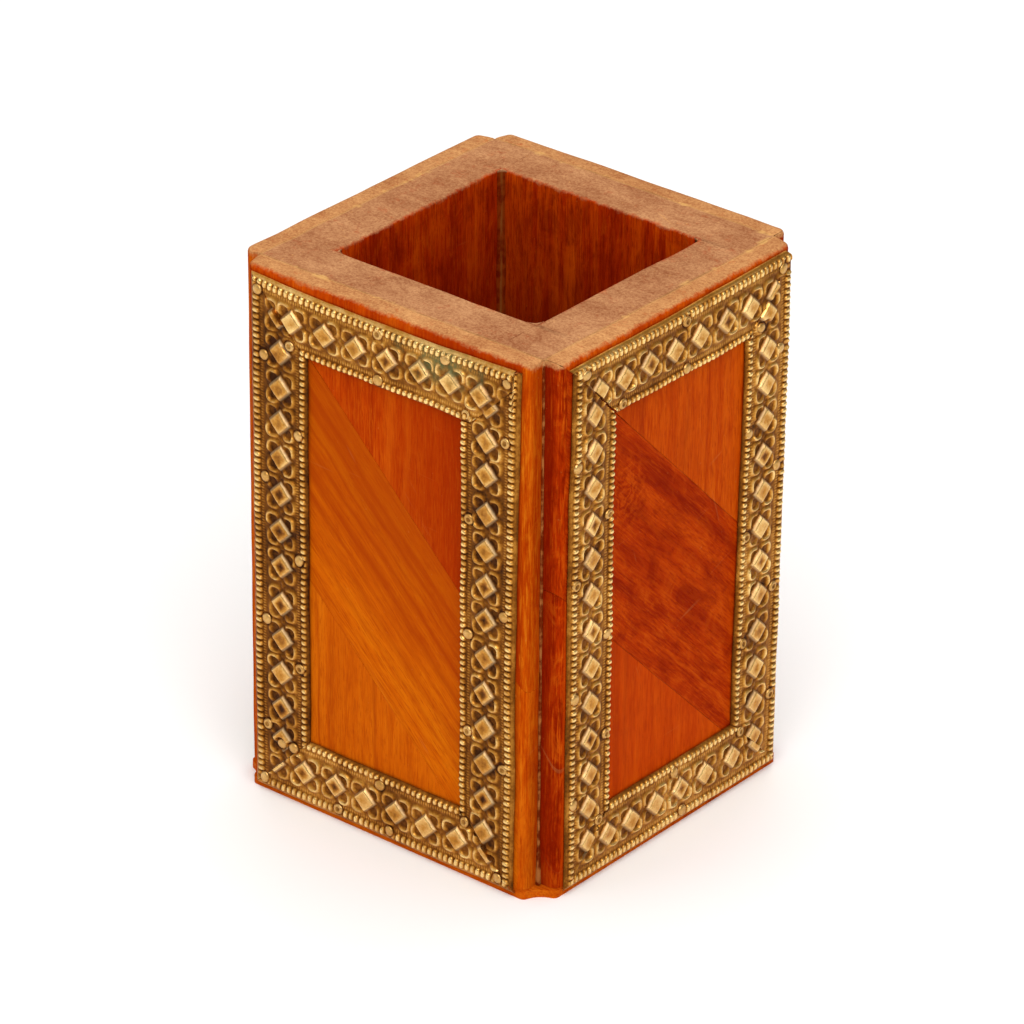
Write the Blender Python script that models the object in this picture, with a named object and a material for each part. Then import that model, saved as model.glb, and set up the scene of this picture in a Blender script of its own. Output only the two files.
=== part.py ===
"""Square wooden pen stand with embossed brass frames.

Four thick core walls make a square well. Each side is dressed with a thin board of three
diagonal pieces, and a mitred frame of four embossed brass strips is nailed over the board.
Lengths are in metres and +Z is up. The origin is the middle of the underside, and the front
faces -Y.
"""

import math

import bmesh
import bpy
from mathutils import Matrix, Vector

# Box of four core walls
HEIGHT = 0.1016
CORE_WIDTH = 0.0615
WALL = 0.0090
WALL_EDGE_RADIUS = 0.0004
FLOOR_THICKNESS = 0.0045
JOINT_GAP = 0.0003

# Thin base under the walls, with a shallow hollow across each corner
BASE_THICKNESS = 0.0015
CORNER_HOLLOW_DEPTH = 0.0009
CORNER_HOLLOW_STEPS = 6
BASE_TIP_RADIUS = 0.0008

# Boards that dress the four sides
FACING_THICKNESS = 0.0036
FACING_EDGE_RADIUS = 0.0013
FACING_RIM_RADIUS = 0.0007
SEAM_GAP = 0.0002
SEAM_ANGLE = math.radians(45)
LOWER_SEAM_INSET = 0.0043

# Brass strips and the frame that they make
STRIP_WIDTH = 0.0124
STRIP_SHEET = 0.0005
STRIP_GAP = 0.0002
MITRE_GAP = 0.0002
FRAME_SIDE_MARGIN = 0.00145
FRAME_TOP_MARGIN = 0.0014
FRAME_FOOT_MARGIN = 0.0009

# Rib of beads along both edges of a strip
OUTER_RIB_INSET = 0.0014
INNER_RIB_INSET = 0.00065
RIB_WIDTH = 0.0010
RIB_HEIGHT = 0.0004
RIB_STEPS = 3

# Embossed studs, on a line nearer the inner edge of a strip than the outer one
STUD_LINE = 0.0067
STUD_PITCH = 0.0069
STUD_DIAGONAL = 0.0050
STUD_HEIGHT = 0.0009
STUD_TOP_SHARE = 0.78
STUD_SINK = 0.0002
STUD_CUT_SHARE = 0.25

# Round-headed nails
NAIL_HEAD_DIAMETER = 0.0019
NAIL_HEAD_HEIGHT = 0.0005
NAIL_SHANK_DIAMETER = 0.0009
NAIL_SHANK_LENGTH = 0.0032
NAIL_CLEARANCE = 0.0002
NAIL_SIDES = 10
OUTER_NAIL_LINE = 0.0026
INNER_NAIL_INSET = 0.0013
CORNER_NAIL_LINE = 0.0016
CORNER_NAIL_INSET = 0.0038
LOW_NAIL_INSET = 0.0146
DOME_PROFILE_SHARES = ((1.0, 0.0), (1.0, 0.45), (0.72, 0.85), (0.0, 1.0))

# Cutters and unions reach past the faces that they cut
OVERRUN = 0.0010

# Sizes that follow from the ones above
core_half = CORE_WIDTH / 2
well_half = core_half - WALL
board_foot = BASE_THICKNESS + JOINT_GAP
board_back = core_half + JOINT_GAP
board_face = board_back + FACING_THICKNESS
strip_back = board_face + STRIP_GAP
frame_width = CORE_WIDTH - 2 * FRAME_SIDE_MARGIN
frame_height = HEIGHT - FRAME_TOP_MARGIN - FRAME_FOOT_MARGIN
frame_half = frame_width / 2
frame_top = HEIGHT - FRAME_TOP_MARGIN
nail_seat = STRIP_SHEET + NAIL_CLEARANCE
inner_nail_line = STRIP_WIDTH - INNER_NAIL_INSET

SIDE_TURNS = {"front": 0, "right": 90, "back": 180, "left": 270}

# Base colour, roughness and metallic value of each finish
FINISHES = {
    "end_grain": ((0.42, 0.20, 0.10, 1.0), 0.55, 0.0),
    "dark_varnish": ((0.22, 0.04, 0.01, 1.0), 0.35, 0.0),
    "orange_board": ((0.50, 0.12, 0.01, 1.0), 0.30, 0.0),
    "base_wood": ((0.36, 0.10, 0.02, 1.0), 0.50, 0.0),
    "old_brass": ((0.52, 0.34, 0.14, 1.0), 0.35, 1.0),
    "nail_brass": ((0.66, 0.48, 0.22, 1.0), 0.28, 1.0),
}


def clear_scene():
    for item in list(bpy.data.objects):
        bpy.data.objects.remove(item, do_unlink=True)


def make_material(name, finish):
    colour, roughness, metallic = FINISHES[finish]
    material = bpy.data.materials.new(name)
    material.use_nodes = True
    shader = material.node_tree.nodes["Principled BSDF"]
    shader.inputs["Base Color"].default_value = colour
    shader.inputs["Roughness"].default_value = roughness
    shader.inputs["Metallic"].default_value = metallic
    return material


def mesh_from(bm, name):
    bmesh.ops.recalc_face_normals(bm, faces=bm.faces)
    mesh = bpy.data.meshes.new(name)
    bm.to_mesh(mesh)
    bm.free()
    return mesh


def add_piece(name, mesh, finish, parent=None, location=(0, 0, 0), rotation=(0, 0, 0)):
    piece = bpy.data.objects.new(name, mesh)
    bpy.context.scene.collection.objects.link(piece)
    piece.parent = parent
    piece.location = location
    piece.rotation_euler = rotation
    if not mesh.materials:
        mesh.materials.append(None)
    piece.material_slots[0].link = "OBJECT"
    piece.material_slots[0].material = make_material(name, finish)
    return piece


def cuboid(bm, low, high):
    low, high = Vector(low), Vector(high)
    result = bmesh.ops.create_cube(bm, size=1)
    size = high - low
    bmesh.ops.scale(bm, vec=size, verts=result["verts"])
    bmesh.ops.translate(bm, vec=(low + high) / 2, verts=result["verts"])
    return result["verts"]


def combine(mesh, other, operation):
    """Boolean of two meshes that lie in the same frame; returns a new mesh."""
    body = bpy.data.objects.new("body", mesh)
    tool = bpy.data.objects.new("tool", other)
    tool.hide_render = True
    tool.display_type = "WIRE"
    for item in (body, tool):
        bpy.context.scene.collection.objects.link(item)
    modifier = body.modifiers.new(operation.lower(), "BOOLEAN")
    modifier.operation = operation
    modifier.solver = "EXACT"
    modifier.object = tool
    bpy.context.view_layer.update()
    result = bpy.data.meshes.new_from_object(body.evaluated_get(bpy.context.evaluated_depsgraph_get()))
    result.name = mesh.name
    for item in (body, tool):
        bpy.data.objects.remove(item, do_unlink=True)
    return result


def turned(bm, profile, sides, centre):
    """Turns a profile of (radius, height) pairs round the upright axis through centre."""
    rings = []
    for radius, height in profile:
        if radius == 0:
            rings.append([bm.verts.new(centre + Vector((0, 0, height)))])
            continue
        ring = []
        for index in range(sides):
            angle = 2 * math.pi * index / sides
            offset = Vector((radius * math.cos(angle), radius * math.sin(angle), height))
            ring.append(bm.verts.new(centre + offset))
        rings.append(ring)
    for lower, upper in zip(rings, rings[1:]):
        for index in range(sides):
            after = (index + 1) % sides
            corners = [lower[index % len(lower)], lower[after % len(lower)],
                       upper[after % len(upper)], upper[index % len(upper)]]
            bm.faces.new(list(dict.fromkeys(corners)))


# Core walls, floor and base

def wall_mesh(name, length):
    """A wall along X, with its outer face on the far side from the well, at -Y."""
    bm = bmesh.new()
    cuboid(bm, (-length / 2, -core_half, board_foot), (length / 2, -well_half, HEIGHT))
    bmesh.ops.bevel(bm, geom=bm.edges[:], offset=WALL_EDGE_RADIUS, segments=2, profile=0.5,
                    affect="EDGES")
    return mesh_from(bm, name)


def build_walls():
    long_wall = wall_mesh("long_wall", CORE_WIDTH)
    short_wall = wall_mesh("short_wall", 2 * (well_half - JOINT_GAP))
    for side, turn in SIDE_TURNS.items():
        mesh = long_wall if side in ("left", "right") else short_wall
        add_piece(side + "_wall", mesh, "end_grain", rotation=(0, 0, math.radians(turn)))


def build_floor():
    half = well_half - JOINT_GAP
    bm = bmesh.new()
    cuboid(bm, (-half, -half, board_foot), (half, half, board_foot + FLOOR_THICKNESS))
    add_piece("floor_board", mesh_from(bm, "floor_board"), "dark_varnish")


def base_corner(turn):
    """Points of the hollow across one corner, an arc that ends on the boards' ends."""
    notch = board_face - core_half
    half_chord = notch / math.sqrt(2)
    radius = (half_chord ** 2 + CORNER_HOLLOW_DEPTH ** 2) / (2 * CORNER_HOLLOW_DEPTH)
    middle = Vector((board_face - notch / 2, -board_face + notch / 2, 0))
    outward = Vector((1, -1, 0)).normalized()
    centre = middle + outward * (radius - CORNER_HOLLOW_DEPTH)
    spread = math.asin(half_chord / radius)
    points = []
    for step in range(CORNER_HOLLOW_STEPS + 1):
        angle = spread * (2 * step / CORNER_HOLLOW_STEPS - 1)
        arm = Matrix.Rotation(-angle, 3, "Z") @ (-outward * radius)
        points.append(Matrix.Rotation(turn, 3, "Z") @ (centre + arm))
    return points


def build_base():
    bm = bmesh.new()
    outline = []
    for turn in SIDE_TURNS.values():
        outline += base_corner(math.radians(turn))
    face = bm.faces.new([bm.verts.new(point) for point in outline])
    top = bmesh.ops.extrude_face_region(bm, geom=[face])
    raised = [item for item in top["geom"] if isinstance(item, bmesh.types.BMVert)]
    bmesh.ops.translate(bm, vec=(0, 0, BASE_THICKNESS), verts=raised)
    tips = [edge for edge in bm.edges
            if abs(edge.verts[0].co.z - edge.verts[1].co.z) > BASE_THICKNESS / 2
            and max(abs(edge.verts[0].co.x), abs(edge.verts[0].co.y)) > board_face - JOINT_GAP / 2]
    bmesh.ops.bevel(bm, geom=tips, offset=BASE_TIP_RADIUS, segments=3, profile=0.5,
                    affect="EDGES", clamp_overlap=True)
    add_piece("base_plate", mesh_from(bm, "base_plate"), "base_wood")


# Boards on the sides, drawn for the front and turned to the other sides

def facing_board(bm):
    """The whole board of one side, with rounded upright edges and a softer rim."""
    cuboid(bm, (-core_half, -board_face, board_foot), (core_half, -board_back, HEIGHT))
    outer = -board_face
    upright = [edge for edge in bm.edges
               if all(abs(vert.co.y - outer) < JOINT_GAP for vert in edge.verts)
               and abs(edge.verts[0].co.x - edge.verts[1].co.x) < JOINT_GAP]
    bmesh.ops.bevel(bm, geom=upright, offset=FACING_EDGE_RADIUS, segments=4, profile=0.5,
                    affect="EDGES")
    rim = []
    for edge in bm.edges:
        ends = [vert.co for vert in edge.verts]
        on_top = all(abs(co.z - HEIGHT) < JOINT_GAP for co in ends)
        at_back = all(abs(co.y + board_back) < JOINT_GAP for co in ends)
        side_run = all(abs(abs(co.x) - core_half) < JOINT_GAP / 2 for co in ends)
        if on_top and not at_back and not side_run:
            rim.append(edge)
    bmesh.ops.bevel(bm, geom=rim, offset=FACING_RIM_RADIUS, segments=2, profile=0.5,
                    affect="EDGES")


def trim(bm, distance, normal, keep_above):
    """Cuts the piece by the plane at distance along normal and closes the cut."""
    result = bmesh.ops.bisect_plane(bm, geom=bm.verts[:] + bm.edges[:] + bm.faces[:],
                                    plane_co=normal * distance, plane_no=normal,
                                    clear_inner=keep_above, clear_outer=not keep_above)
    rim = [item for item in result["geom_cut"] if isinstance(item, bmesh.types.BMEdge)]
    bmesh.ops.contextual_create(bm, geom=rim)


def build_facings(sides, nail_cutter):
    normal = Vector((math.sin(SEAM_ANGLE), 0, math.cos(SEAM_ANGLE)))
    upper = normal.dot(Vector((-frame_half, 0, frame_top)))
    lower = normal.dot(Vector((core_half - LOWER_SEAM_INSET, 0, board_foot)))
    half_gap = SEAM_GAP / 2
    pieces = {
        "upper": [(upper + half_gap, True)],
        "middle": [(upper - half_gap, False), (lower + half_gap, True)],
        "lower": [(lower - half_gap, False)],
    }
    for piece, cuts in pieces.items():
        bm = bmesh.new()
        facing_board(bm)
        for distance, keep_above in cuts:
            trim(bm, distance, normal, keep_above)
        mesh = mesh_from(bm, piece + "_board")
        mesh = combine(mesh, nail_cutter, "DIFFERENCE")
        for side, empty in sides.items():
            add_piece(f"{side}_{piece}_board", mesh, "orange_board", parent=empty)


# Brass strips, drawn flat: X along the strip, Y across from its outer edge, Z outwards

def strip_profile():
    """Cross section of a strip: a flat sheet with a rounded rib near each edge."""
    points = [(0, 0), (0, STRIP_SHEET)]
    for centre in (OUTER_RIB_INSET, STRIP_WIDTH - INNER_RIB_INSET):
        for step in range(RIB_STEPS + 1):
            angle = math.pi * (1 - step / RIB_STEPS)
            points.append((centre + math.cos(angle) * RIB_WIDTH / 2,
                           STRIP_SHEET + math.sin(angle) * RIB_HEIGHT))
    points += [(STRIP_WIDTH, STRIP_SHEET), (STRIP_WIDTH, 0)]
    return points


def strip_stock(name, length):
    """The sheet with its ribs, square at both ends."""
    bm = bmesh.new()
    face = bm.faces.new([bm.verts.new((0, across, height)) for across, height in strip_profile()])
    grown = bmesh.ops.extrude_face_region(bm, geom=[face])
    far = [item for item in grown["geom"] if isinstance(item, bmesh.types.BMVert)]
    bmesh.ops.translate(bm, vec=(length, 0, 0), verts=far)
    return mesh_from(bm, name)


def stud_places(length):
    """Studs at their pitch from the middle; one is left out where the mitre takes most of it."""
    reach = length / 2 - STUD_LINE + STUD_DIAGONAL * STUD_CUT_SHARE
    count = int(2 * reach / STUD_PITCH) + 1
    first = length / 2 - (count - 1) * STUD_PITCH / 2
    return [first + index * STUD_PITCH for index in range(count)]


def stud_mesh(name, length):
    """Square studs set cornerwise, each a low pyramid with its top cut flat."""
    bm = bmesh.new()
    for along in stud_places(length):
        centre = Vector((along, STUD_LINE, 0))
        profile = [(0, STRIP_SHEET - STUD_SINK),
                   (STUD_DIAGONAL / 2, STRIP_SHEET - STUD_SINK),
                   (STUD_DIAGONAL / 2, STRIP_SHEET),
                   (STUD_DIAGONAL / 2 * STUD_TOP_SHARE, STRIP_SHEET + STUD_HEIGHT),
                   (0, STRIP_SHEET + STUD_HEIGHT)]
        turned(bm, profile, 4, centre)
    return mesh_from(bm, name)


def strip_mesh(name, length, nails):
    """Embossed stock cut to a mitre at both ends, so the outer edge is the longer."""
    mesh = combine(strip_stock(name, length), stud_mesh(name + "_studs", length), "UNION")
    bm = bmesh.new()
    bm.from_mesh(mesh)
    for end, along in ((0, 1), (length, -1)):
        inward = Vector((along, -1, 0)).normalized()
        trim(bm, inward.dot(Vector((end, 0, 0))) + MITRE_GAP / 2, inward, True)
    mesh = mesh_from(bm, name)
    if nails:
        mesh = combine(mesh, nail_hole_mesh(name + "_holes", nails), "DIFFERENCE")
    return mesh


# Nails: places are (along, across) on their strip

def strip_nails():
    middle = frame_height / 2
    return {
        "top_strip": {"nail_top_left": (frame_width - CORNER_NAIL_INSET, CORNER_NAIL_LINE),
                      "nail_top_right": (CORNER_NAIL_INSET, CORNER_NAIL_LINE)},
        "foot_strip": {},
        "left_strip": {"nail_mid_left": (middle, inner_nail_line),
                       "nail_low_left": (frame_height - LOW_NAIL_INSET, OUTER_NAIL_LINE)},
        "right_strip": {"nail_mid_right": (middle, inner_nail_line),
                        "nail_low_right": (LOW_NAIL_INSET, OUTER_NAIL_LINE)},
    }


def strip_poses():
    """Start corner and turn of each strip, seen on the front, counted anticlockwise."""
    foot = FRAME_FOOT_MARGIN
    return {
        "foot_strip": ((-frame_half, -strip_back, foot), 0),
        "right_strip": ((frame_half, -strip_back, foot), 90),
        "top_strip": ((frame_half, -strip_back, frame_top), 180),
        "left_strip": ((-frame_half, -strip_back, frame_top), 270),
    }


def strip_rotation(turn):
    return (math.radians(90), math.radians(-turn), 0)


def nail_mesh():
    head = NAIL_HEAD_DIAMETER / 2
    shank = NAIL_SHANK_DIAMETER / 2
    tip = nail_seat - NAIL_SHANK_LENGTH
    profile = [(0, tip), (shank, tip + shank), (shank, nail_seat)]
    for radius_share, height_share in DOME_PROFILE_SHARES:
        profile.append((head * radius_share, nail_seat + NAIL_HEAD_HEIGHT * height_share))
    bm = bmesh.new()
    turned(bm, profile, NAIL_SIDES, Vector((0, 0, 0)))
    return mesh_from(bm, "nail")


def nail_hole_mesh(name, places):
    """Stepped cutters: a bore for the shank, and above the sheet a clearing for the head."""
    bore = NAIL_SHANK_DIAMETER / 2 + NAIL_CLEARANCE
    clearing = NAIL_HEAD_DIAMETER / 2 + NAIL_CLEARANCE
    bottom = nail_seat - NAIL_SHANK_LENGTH - NAIL_CLEARANCE
    top = STRIP_SHEET + RIB_HEIGHT + OVERRUN
    profile = [(0, bottom), (bore, bottom), (bore, STRIP_SHEET), (clearing, STRIP_SHEET),
               (clearing, top), (0, top)]
    bm = bmesh.new()
    for along, across in places:
        turned(bm, profile, NAIL_SIDES, Vector((along, across, 0)))
    return mesh_from(bm, name)


def board_nail_cutter(nails):
    """All nail holes of one side in the place they have on the front."""
    bm = bmesh.new()
    for strip, (corner, turn) in strip_poses().items():
        places = nails[strip].values()
        if not places:
            continue
        holes = nail_hole_mesh(strip + "_board_holes", places)
        across, upright, out = strip_rotation(turn)
        pose = Matrix.Rotation(upright, 4, "Y") @ Matrix.Rotation(across, 4, "X")
        holes.transform(Matrix.Translation(corner) @ pose)
        bm.from_mesh(holes)
    return mesh_from(bm, "board_nail_holes")


def build_frames(sides, nails):
    lengths = {"top_strip": frame_width, "foot_strip": frame_width,
               "left_strip": frame_height, "right_strip": frame_height}
    nail = nail_mesh()
    for strip, (corner, turn) in strip_poses().items():
        mesh = strip_mesh(strip, lengths[strip], list(nails[strip].values()))
        rotation = strip_rotation(turn)
        pose = Matrix.Rotation(rotation[1], 3, "Y") @ Matrix.Rotation(rotation[0], 3, "X")
        for side, empty in sides.items():
            add_piece(f"{side}_{strip}", mesh, "old_brass", parent=empty,
                      location=corner, rotation=rotation)
            for label, (along, across) in nails[strip].items():
                place = Vector(corner) + pose @ Vector((along, across, 0))
                add_piece(f"{side}_{label}", nail, "nail_brass", parent=empty,
                          location=place, rotation=rotation)


def build():
    clear_scene()
    sides = {}
    for side, turn in SIDE_TURNS.items():
        empty = bpy.data.objects.new(side + "_side", None)
        empty.rotation_euler = (0, 0, math.radians(turn))
        bpy.context.scene.collection.objects.link(empty)
        sides[side] = empty
    nails = strip_nails()
    build_walls()
    build_floor()
    build_base()
    build_facings(sides, board_nail_cutter(nails))
    build_frames(sides, nails)
    bpy.context.view_layer.update()


build()
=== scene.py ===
import math

import bpy
import numpy as np
from mathutils import Matrix, Vector, noise


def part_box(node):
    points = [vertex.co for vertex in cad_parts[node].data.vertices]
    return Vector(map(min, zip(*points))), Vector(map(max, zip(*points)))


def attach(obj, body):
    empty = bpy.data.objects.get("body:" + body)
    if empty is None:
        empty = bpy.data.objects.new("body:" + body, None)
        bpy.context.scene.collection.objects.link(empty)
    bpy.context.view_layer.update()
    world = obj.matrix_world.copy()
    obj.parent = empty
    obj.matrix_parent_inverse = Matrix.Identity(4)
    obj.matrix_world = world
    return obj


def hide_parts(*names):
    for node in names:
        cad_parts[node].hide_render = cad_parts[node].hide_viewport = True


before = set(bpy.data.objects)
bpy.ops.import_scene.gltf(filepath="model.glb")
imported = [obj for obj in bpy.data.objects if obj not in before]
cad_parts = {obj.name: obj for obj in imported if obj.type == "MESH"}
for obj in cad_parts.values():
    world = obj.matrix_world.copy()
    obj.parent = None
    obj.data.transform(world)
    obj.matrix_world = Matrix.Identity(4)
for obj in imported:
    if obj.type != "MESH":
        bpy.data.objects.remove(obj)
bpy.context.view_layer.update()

mm = 0.001
touch = 0.01 * mm        # nearer than this is the same place
sideTurns = {"front": 0, "right": 90, "back": 180, "left": 270}

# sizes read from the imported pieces, all on the front, which faces -Y
boardLow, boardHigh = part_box("front_middle_board")
wallLow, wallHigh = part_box("right_wall")
leftStripLow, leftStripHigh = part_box("front_left_strip")
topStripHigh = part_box("front_top_strip")[1]
rim = boardHigh.z
boardFoot = boardLow.z
boardFace = -boardLow.y
boardBack = -boardHigh.y
coreHalf = wallHigh.x
wellHalf = wallLow.x
frameHalf = -leftStripLow.x
frameFoot = leftStripLow.z
frameTop = topStripHigh.z
stripWidth = leftStripHigh.x - leftStripLow.x
stripBack = -leftStripHigh.y


# Camera

cameraView = {
    "azimuth": 39.32,        # degrees from looking along +Y
    "elevation": 27.95,
    "roll": 0.52,
    "distance": 1.0927,
    "lens": 221.7,           # mm on a 36 mm sensor
    "aimHeight": 0.04626,
    "aimRight": -0.00068,
    "aimUp": 0.00358,
}


def outwards(azimuth, elevation):
    around, above = math.radians(azimuth), math.radians(elevation)
    return Vector((math.sin(around) * math.cos(above), -math.cos(around) * math.cos(above), math.sin(above)))


def addCamera():
    around, tilt = math.radians(cameraView["azimuth"]), math.radians(cameraView["roll"])
    back = outwards(cameraView["azimuth"], cameraView["elevation"])
    level = Vector((math.cos(around), math.sin(around), 0))
    upright = back.cross(level)
    right = level * math.cos(tilt) + upright * math.sin(tilt)
    up = upright * math.cos(tilt) - level * math.sin(tilt)
    aim = Vector((0, 0, cameraView["aimHeight"])) + level * cameraView["aimRight"]
    aim += upright * cameraView["aimUp"]
    bpy.ops.object.camera_add()
    camera = bpy.context.object
    camera.name = "photoCamera"
    camera.data.lens = cameraView["lens"]
    camera.data.clip_start = 0.01
    turn = Matrix((right, up, back)).transposed().to_4x4()
    camera.matrix_world = Matrix.Translation(aim + back * cameraView["distance"]) @ turn
    bpy.context.scene.camera = camera


addCamera()
print("camera placed")


# Lights and floor

studio = {
    "world": (1, 1, 1, 1),
    "worldStrength": 0.36,
    "floorSize": 6.0,
    "floorColour": (253, 252, 250),
    "lights": {
        # name: azimuth, elevation, distance, size, watts
        "keyLight": (40, 46, 0.9, 0.6, 4.6),
        "skyLight": (200, 82, 1.2, 1.7, 10.0),
        "leftLight": (-40, 22, 0.9, 0.7, 0.95),
        "rightLight": (72, 29, 0.95, 0.42, 0.8),
        "backLight": (210, 45, 1.0, 0.6, 1.0),
    },
}


def srgb(colour):
    # from 0 to 255, as pictures give it, to what a colour socket takes
    def linear(value):
        value = value / 255
        return value / 12.92 if value <= 0.04045 else ((value + 0.055) / 1.055) ** 2.4
    return (*map(linear, colour), 1)


def addStudio():
    world = bpy.data.worlds.new("softRoom")
    bpy.context.scene.world = world
    world.use_nodes = True
    background = world.node_tree.nodes["Background"]
    background.inputs["Color"].default_value = studio["world"]
    background.inputs["Strength"].default_value = studio["worldStrength"]
    middle = Vector((0, 0, rim / 2))
    for name, (azimuth, elevation, distance, size, watts) in studio["lights"].items():
        away = outwards(azimuth, elevation)
        bpy.ops.object.light_add(type="AREA", location=middle + away * distance)
        lamp = bpy.context.object
        lamp.name = name
        lamp.data.size = size
        lamp.data.energy = watts
        lamp.rotation_euler = away.to_track_quat("Z", "Y").to_euler()
    bpy.ops.mesh.primitive_plane_add(size=studio["floorSize"])
    floor = bpy.context.object
    floor.name = "paleFloor"
    material = bpy.data.materials.new("paleFloor")
    material.use_nodes = True
    shader = material.node_tree.nodes["Principled BSDF"]
    shader.inputs["Base Color"].default_value = srgb(studio["floorColour"])
    shader.inputs["Roughness"].default_value = 0.9
    floor.data.materials.append(material)


addStudio()
print("studio lit")


# Modelling helpers

def deselectAll():
    bpy.ops.object.select_all(action="DESELECT")


def activate(piece):
    deselectAll()
    piece.select_set(True)
    bpy.context.view_layer.objects.active = piece


def applyPlace(piece, place=None):
    if place:
        piece.matrix_world = place
    activate(piece)
    bpy.ops.object.transform_apply(location=True, rotation=True, scale=True)


def turnToSide(piece, side):
    applyPlace(piece, Matrix.Rotation(math.radians(sideTurns[side]), 4, "Z") @ piece.matrix_world)


def duplicate(piece, name):
    activate(piece)
    bpy.ops.object.duplicate()
    copy = bpy.context.object
    copy.name = name
    copy.data.name = name
    return copy


def joinPieces(pieces, name):
    activate(pieces[0])
    for piece in pieces:
        piece.select_set(True)
    bpy.ops.object.join()
    bpy.context.object.name = name
    return bpy.context.object


def addBlock(name, low, high):
    # a block between two corners, still to be shaped
    low, high = Vector(low), Vector(high)
    bpy.ops.mesh.primitive_cube_add(size=1, location=(low + high) / 2)
    block = bpy.context.object
    block.name = name
    block.scale = high - low
    applyPlace(block)
    return block


def startEdit(piece, kind="VERT", action="SELECT"):
    activate(piece)
    bpy.ops.object.mode_set(mode="EDIT")
    bpy.ops.mesh.select_mode(type=kind)
    bpy.ops.mesh.select_all(action=action)


def endEdit():
    bpy.ops.object.mode_set(mode="OBJECT")


def editChosen(piece, kind, chosen):
    # opens the piece with only the chosen edges or faces selected
    startEdit(piece, kind, "DESELECT")
    endEdit()
    for part in piece.data.edges if kind == "EDGE" else piece.data.polygons:
        part.select = chosen(part)
    bpy.ops.object.mode_set(mode="EDIT")


def bevelEdges(piece, chosen, width, segments):
    # chosen(a, b) says which edges, by the places of their two ends
    def byEnds(edge):
        return chosen(*(piece.data.vertices[index].co for index in edge.vertices))

    editChosen(piece, "EDGE", byEnds)
    bpy.ops.mesh.bevel(offset=width, segments=segments, profile=0.5, affect="EDGES")
    endEdit()


def sliceBlock(block, spacing, axes=(0, 2), extra=()):
    # rings of extra vertices along each axis, so that edges can be worn unevenly
    for axis in axes:
        places = [vertex.co[axis] for vertex in block.data.vertices]
        low, high = min(places), max(places)
        count = int((high - low) / spacing)
        cuts = [low + (high - low) * step / count for step in range(1, count)]
        direction = Vector([float(axis == each) for each in range(3)])
        startEdit(block)
        for cut in cuts + (list(extra) if axis == 0 else []):
            bpy.ops.mesh.select_all(action="SELECT")
            bpy.ops.mesh.bisect(plane_co=direction * cut, plane_no=direction)
        endEdit()


def shadeSmooth(piece, degrees=35):
    activate(piece)
    bpy.ops.object.shade_smooth_by_angle(angle=math.radians(degrees))


def finishPiece(piece, material, slot, *nodes):
    piece.data.materials.clear()
    piece.data.materials.append(material)
    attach(piece, "root")
    if nodes:
        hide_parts(*nodes)


# Node helpers for the materials

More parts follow.
